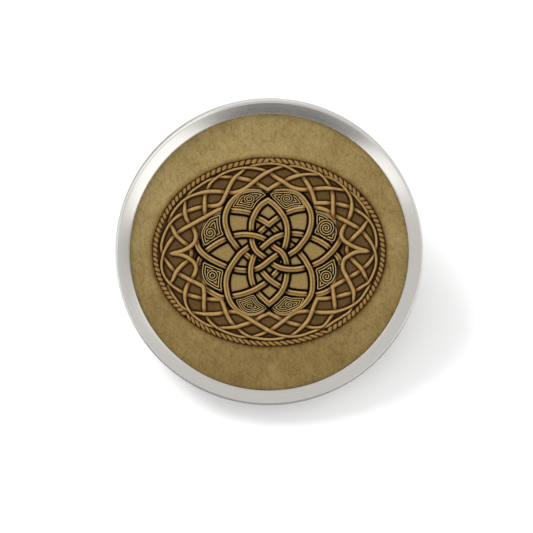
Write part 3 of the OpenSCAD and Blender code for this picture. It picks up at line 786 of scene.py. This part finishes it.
def ripple(points, size, seed, octaves=3):
    """Fractal noise at each point, about -1 to 1."""
    return np.array([noise.fractal(Vector((x / size, y / size, seed)), 0.6, 2.1, octaves,
                                   noise_basis="PERLIN_ORIGINAL") for x, y in points])


def ground_height(points):
    """Painted shade: the ground is darkest beside the strands."""
    d = nearest(points, band_line)
    tone = 0.12 + 0.46 * np.clip((d - 0.25) / 0.17, 0, 1)
    return GROUND_Z + 0.012 * ripple(points, 0.22, 3.0), tone


def floor_height(points):
    """The rosette's floor has painted shade beside its strands and is darker at its two outer tips.
    """
    d = nearest(points, rosette_line)
    tone = 0.3 + 0.62 * np.clip((d - 0.36) / 0.28, 0, 1)
    tone *= np.clip((6.6 - abs(points[:, 0])) / 0.2, 0.2, 1)
    return FLOOR_Z + 0.008 * ripple(points, 0.4, 9.0), tone


turns = np.linspace(0, 2 * math.pi, 560, endpoint=False)


def oval(long, short):
    """Distance from the axis to an oval at each turn."""
    return long * short / np.sqrt((short * np.cos(turns)) ** 2 + (long * np.sin(turns)) ** 2)


edge_r = outline_r(ROSETTE_EDGE, turns)
rope_in_a, rope_in_b = OVAL_A - ROPE_W, OVAL_B - ROPE_W
rope_in = oval(rope_in_a, rope_in_b)
ground, floor_shell = Shells(), Shells()
ground.add(*plate(edge_r - 0.2, rope_in + 0.12, turns, 44, ground_height, SEAT_Z + 0.03))
ground.make("relief_ground", ground_mat, "relief_leather")
floor_shell.add(*plate(np.zeros(len(turns)), edge_r, turns, 56, floor_height, SEAT_Z + 0.04))
floor_shell.make("rosette_floor", floor_mat, "relief_leather", sharp_deg=60)

# Spiral fields: spacing and height of the ridges, blend from turns to edge lines, fade at the edge
PITCH, RIDGE_H = 0.24, 0.075
TURN_BLEND, EDGE_FADE = 0.16, 0.06


def to_outline(points, outline):
    """Distance from each point to a closed outline."""
    o = np.array(outline)
    best = np.full(len(points), 1e9)
    for p, r in zip(o, np.roll(o, -1, 0)):
        e = r - p
        t = np.clip(((points - p) @ e) / (e @ e), 0, 1)
        best = np.minimum(best, np.linalg.norm(points - p - t[:, None] * e, axis=1))
    return best


def smooth_outline(outline, n=8):
    """Closed smooth curve through an outline's points."""
    o = np.array(outline, float)
    out = []
    for i in range(len(o)):
        a, b, c, d = o[i - 1], o[i], o[(i + 1) % len(o)], o[(i + 2) % len(o)]
        for t in np.arange(n) / n:
            out.append(0.5 * (2 * b + (c - a) * t + (2 * a - 5 * b + 4 * c - d) * t * t
                              + (3 * b - a - 3 * c + d) * t ** 3))
    return np.array(out)


spirals = Shells()
for outline, centre, hand, count, flat in FIELDS:
    o = smooth_outline(outline)
    c = np.array(centre)
    a = np.linspace(0, 2 * math.pi, 180, endpoint=False)
    reach = outline_r(o - c, a)

    def coiled(points):
        x, y = points[:, 0], points[:, 1] / flat
        r = np.hypot(x, y)
        edge = to_outline(points + c, o)
        spin = np.arctan2(y, x) * hand / (2 * math.pi)
        coil = 0.5 + 0.5 * np.cos(2 * math.pi * (r / PITCH - spin))
        lines = 0.5 + 0.5 * np.cos(2 * math.pi * (edge / (PITCH * (0.4 + 0.6 * flat)) - 0.5))
        mix = np.clip((r - np.minimum(count * PITCH, r + edge * 0.6)) / TURN_BLEND + 0.5, 0, 1)
        ridge = (coil * (1 - mix) + lines * mix) * np.clip(edge / EDGE_FADE, 0, 1)
        # Painted highlight and painted shade: ridge tops light and the grooves between them dark,
        # with tone that differs at random
        tone = np.clip((ridge - 0.36) * 1.8 + 0.12 * ripple(points + c, 0.5, 4.0, 2), 0, 1)
        return FACE_Z + 0.02 + RIDGE_H * ridge, tone

    verts, faces, tone = plate(np.zeros(len(a)), reach, a, 52, coiled, SEAT_Z + 0.05)
    verts[:, :2] += c
    spirals.add(verts, faces, tone)
spirals.make("spiral_fields", spiral_mat, "relief_leather", sharp_deg=75)

# Rope border: first and last angle of each stretch, and the slant of its lobes
SLANTS = [(0, 38, 65), (38, 90, -55), (90, 223, 65), (223, 300, -45), (300, 360, 65)]
# Points along and across a lobe, and its rise
LOBE_GRID, LOBE_H = 9, 0.19
rope = Shells()
ra, rb = OVAL_A - ROPE_W / 2, OVAL_B - ROPE_W / 2
for k in range(ROPE_LOBES):
    deg = 360 * (k + 0.5) / ROPE_LOBES
    t = math.radians(deg)
    slant = math.radians(next(s for lo, hi, s in SLANTS if lo <= deg < hi))
    speed = math.hypot(ra * math.sin(t), rb * math.cos(t))
    pitch = 2 * math.pi / ROPE_LOBES * speed
    ahead = np.array([-ra * math.sin(t), rb * math.cos(t)]) / speed
    inward = np.array([-ahead[1], ahead[0]])
    mid = np.array([ra * math.cos(t), rb * math.sin(t)])
    half = pitch / 2
    across = ROPE_W / 2 - 0.005
    lean = across / math.tan(slant)
    n = LOBE_GRID
    verts, faces, tones = [], [], []
    for i in range(n):
        u = -1 + 2 * i / (n - 1)
        body = math.sqrt(max(0.0, 1 - (abs(u) ** 3.4)))
        drift = lean * math.sin(u * math.pi / 2)
        for j in range(n):
            v = -1 + 2 * j / (n - 1)
            high = math.sqrt(max(0.0, 1 - abs(v) ** 2.2)) * body
            w = half * (0.45 + 0.55 * body)
            p = mid + inward * (u * across) + ahead * (drift + v * w)
            verts.append((p[0], p[1], FACE_Z - 0.02 + LOBE_H * high))
            # Painted highlight and painted shade: a lobe is lighter the higher it rises
            tones.append(min(1.0, 0.14 + 0.72 * high))
    for i in range(n - 1):
        for j in range(n - 1):
            a = i * n + j
            faces.append((a, a + n, a + n + 1, a + 1))
    border = (list(range(n)) + [i * n + n - 1 for i in range(1, n)]
              + [(n - 1) * n + j for j in range(n - 2, -1, -1)]
              + [i * n for i in range(n - 2, 0, -1)])
    base = len(verts)
    for b in border:
        verts.append((verts[b][0], verts[b][1], FACE_Z - 0.12))
        tones.append(0.0)
    m = len(border)
    faces += [(border[i], border[(i + 1) % m], base + (i + 1) % m, base + i) for i in range(m)]
    faces.append(tuple(base + i for i in range(m)))
    # ahead and inward make a left-handed pair with the loop order above
    rope.add(verts, [tuple(reversed(f)) for f in faces], tones)


def bed_height(points):
    """The rope's bed is raised a little under its lobes; its dark tone is painted shade in the gaps
    between them.
    """
    e = np.sqrt((points[:, 0] / ra) ** 2 + (points[:, 1] / rb) ** 2)
    dip = np.clip(1 - abs(e - 1) / 0.024, 0, 1)
    return FACE_Z - 0.035 + 0.05 * dip, 0.04 + 0.12 * dip


bed_out = oval(OVAL_A - GAP, OVAL_B - GAP)
rope.add(*plate(rope_in, bed_out, turns, 9, bed_height, SEAT_Z + 0.03))
rope.make("rope_border", strand_mat, "relief_leather", sharp_deg=80, stands_for=("medallion",))

# Insert: its shown radius, and the depth, width and middle radius of the dip round the oval
disc_r = LIP_R + 0.2
DIP_H, DIP_W, DIP_R = 0.05, 0.28, 10.3
oval_r = oval(OVAL_A, OVAL_B)


def skin_height(points):
    """Uneven leather, held level under the steel lip and pressed in round the oval."""
    r = np.linalg.norm(points, axis=1)
    e = np.sqrt((points[:, 0] / OVAL_A) ** 2 + (points[:, 1] / OVAL_B) ** 2)
    grain = 0.006 * ripple(points, 0.9, 1.0, 5) + 0.003 * ripple(points, 0.25, 6.0, 2)
    press = -DIP_H * np.exp(-((e - 1) * DIP_R / DIP_W) ** 2)
    hold = np.clip((LIP_R + 0.1 - r) / 0.3, 0, 1)
    return FACE_Z - 0.012 + grain * hold + press, np.ones(len(points))


skin = Shells()
skin.add(*plate(oval_r, np.full(len(turns), disc_r), turns, 60, skin_height, 0.53))
skin.add(*plate(np.zeros(len(turns)), oval_r + 0.05, turns, 3,
                lambda p: (np.full(len(p), SEAT_Z), np.ones(len(p))), 0.54))
skin.make("insert_skin", leather_mat, "insert_leather", stands_for=("insert_disc",))

# Steel
cup = rounded(
    [(0, 0), (BACK_EDGE_R, 0), (PIN_R, 0.2), (PIN_R, CREST_Z - 0.28),
     (SHOWN_CREST_R, CREST_Z - 0.03), (LIP_R + 0.16, FACE_Z + 0.44), (LIP_R + 0.02, FACE_Z + 0.32),
     (LIP_R, FACE_Z + 0.17), (LIP_R, FACE_Z + GAP), (POCKET_R, FACE_Z + GAP), (POCKET_R, BACK_T),
     (0, BACK_T)],
    [0, 0.12, 0.12, 0.08, 0.05, 0.08, 0.05, 0.04, 0.03, 0, 0, 0])
verts, faces = lathe(cup, 288)
piece("bezel_cup", verts, faces, steel_mat, "bezel_steel", sharp_deg=50, stands_for=("bezel",))

TIP = -POST_L
post = rounded(
    [(0, TIP), (POINT_R, TIP), (SHANK_R, TIP + 1.1), (SHANK_R, TIP + 2.2), (GROOVE_R, TIP + 2.36),
     (GROOVE_R, TIP + 2.94), (SHANK_R, TIP + 3.1), (SHANK_R, -0.5), (PAD_R, -0.5), (PAD_R, -GAP),
     (0, -GAP)],
    [0, 0.05, 0.12, 0.05, 0.06, 0.06, 0.05, 0.1, 0.14, 0.05, 0])
verts, faces = lathe(post, 96, (0.0, POST_UP))
piece("post_and_pad", verts, faces, post_mat, "post_steel", sharp_deg=50, stands_for=("pin_post",))

for name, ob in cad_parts.items():
    ob.data.materials.clear()
    ob.data.materials.append({"bezel": steel_mat, "pin_post": post_mat}.get(name, leather_mat))


# Floor, light and camera
def flat_sheet(name, corners, material):
    mesh = bpy.data.meshes.new(name)
    mesh.from_pydata(corners, [], [(0, 1, 2, 3)])
    mesh.materials.append(material)
    ob = bpy.data.objects.new(name, mesh)
    bpy.context.scene.collection.objects.link(ob)
    ob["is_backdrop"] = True
    return ob


pale = Nodes("pale_floor")
speckle = pale.noise(60.0, 2.0)
paper = pale.blend(speckle, (0.975, 0.975, 0.975, 1), (0.995, 0.995, 0.995, 1))
pale.set(Base_Color=paper, Roughness=0.9, Specular_IOR_Level=0.1)
flat_sheet("floor", [(-3, -3, 0), (3, -3, 0), (3, 3, 0), (-3, 3, 0)], pale.mat)


def card(name, corners, radiance):
    """A studio card that only reflections see."""
    mat = bpy.data.materials.new(name)
    mat.use_nodes = True
    tree = mat.node_tree
    tree.nodes.remove(tree.nodes["Principled BSDF"])
    glow = tree.nodes.new("ShaderNodeEmission")
    glow.inputs["Color"].default_value = (radiance, radiance, radiance * 0.99, 1)
    glow.inputs["Strength"].default_value = 1.0
    tree.links.new(glow.outputs[0], tree.nodes["Material Output"].inputs["Surface"])
    ob = flat_sheet(name, corners, mat)
    ob.visible_camera = ob.visible_diffuse = ob.visible_shadow = False
    ob.visible_transmission = ob.visible_volume_scatter = False


def wall_card(name, start, end, low, high, radiance):
    """Upright card from start to end, x and y in millimetres."""
    (x0, y0), (x1, y1) = start, end
    card(name, [(x / 1000, y / 1000, z / 1000) for x, y, z in
                ((x0, y0, low), (x1, y1, low), (x1, y1, high), (x0, y0, high))], radiance)


def floor_card(name, start, end, height, radiance):
    """Level card from corner to corner, in millimetres."""
    (x0, y0), (x1, y1) = start, end
    card(name, [(x / 1000, y / 1000, height / 1000) for x, y in
                ((x0, y0), (x1, y0), (x1, y1), (x0, y1))], radiance)


# Name, start, end, low edge, high edge and radiance of each upright card
for row in (("card_dark_front", (-22, -45), (17.6, -45), 0.5, 30, 0.2),
            ("card_bright_left", (-44, -45), (-22, -45), 0.5, 40, 2.2),
            ("card_bright_right", (17.6, -45), (74, -45), 0.5, 40, 2.2),
            ("card_grey_right", (76, -45), (83, -16), 18, 48, 0.44),
            ("card_back_left", (-135, 35), (-55, 135), 22, 78, 1.9),
            ("card_soft_right", (88, -8), (88, 80), 34, 84, 1.45)):
    wall_card(*row)
floor_card("card_near_floor", (-21, -19), (21, 23), 0.3, 0.5)
floor_card("card_floor_front", (-60, -70), (60, -20), 0.6, 0.6)

world = bpy.data.worlds.new("studio")
bpy.context.scene.world = world
world.use_nodes = True
world.node_tree.nodes["Background"].inputs["Color"].default_value = (1, 1, 1, 1)
world.node_tree.nodes["Background"].inputs["Strength"].default_value = 0.95


def lamp(name, place, aim, size, power):
    data = bpy.data.lights.new(name, "AREA")
    data.shape = "DISK"
    data.size = size
    data.energy = power
    ob = bpy.data.objects.new(name, data)
    ob.location = place
    ob.rotation_mode = "QUATERNION"
    ob.rotation_quaternion = (Vector(aim) - Vector(place)).to_track_quat("-Z", "Y")
    bpy.context.scene.collection.objects.link(ob)
    ob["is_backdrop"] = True
    return ob


key = lamp("key", (-0.29, 0.28, 0.32), (0, 0, 0.005), 0.3, 2.05)
key.visible_glossy = False

# The camera looks along the photo's line, nearly square to the face, from just above its middle
LOOK = Vector((-0.036, 0.136, 0.990)).normalized()
look = (REST.to_3x3() @ LOOK).normalized()
side = REST.to_3x3() @ Vector((1, 0, 0))
across = side - look * side.dot(look)
across.normalize()
upward = look.cross(across).normalized()
MM_PER_PIXEL = 0.0974
IMAGE_PIXELS = 533
RIGHT_PIXELS, UP_PIXELS = 3.1, 12.8
DISTANCE = 0.5
middle = REST @ Vector((0, 0, CREST_Z / 1000))
aim = middle - (across * RIGHT_PIXELS + upward * UP_PIXELS) * (MM_PER_PIXEL / 1000)
cam_data = bpy.data.cameras.new("camera")
cam_data.sensor_width = 36
cam_data.lens = cam_data.sensor_width * DISTANCE / (IMAGE_PIXELS * MM_PER_PIXEL / 1000)
cam_data.clip_start, cam_data.clip_end = 0.01, 20
cam = bpy.data.objects.new("camera", cam_data)
facing = Matrix((across, upward, look)).transposed().to_4x4()
cam.matrix_world = Matrix.Translation(aim + look * DISTANCE) @ facing
bpy.context.scene.collection.objects.link(cam)
bpy.context.scene.camera = cam
bpy.context.scene.view_settings.view_transform = "Standard"

low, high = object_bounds()
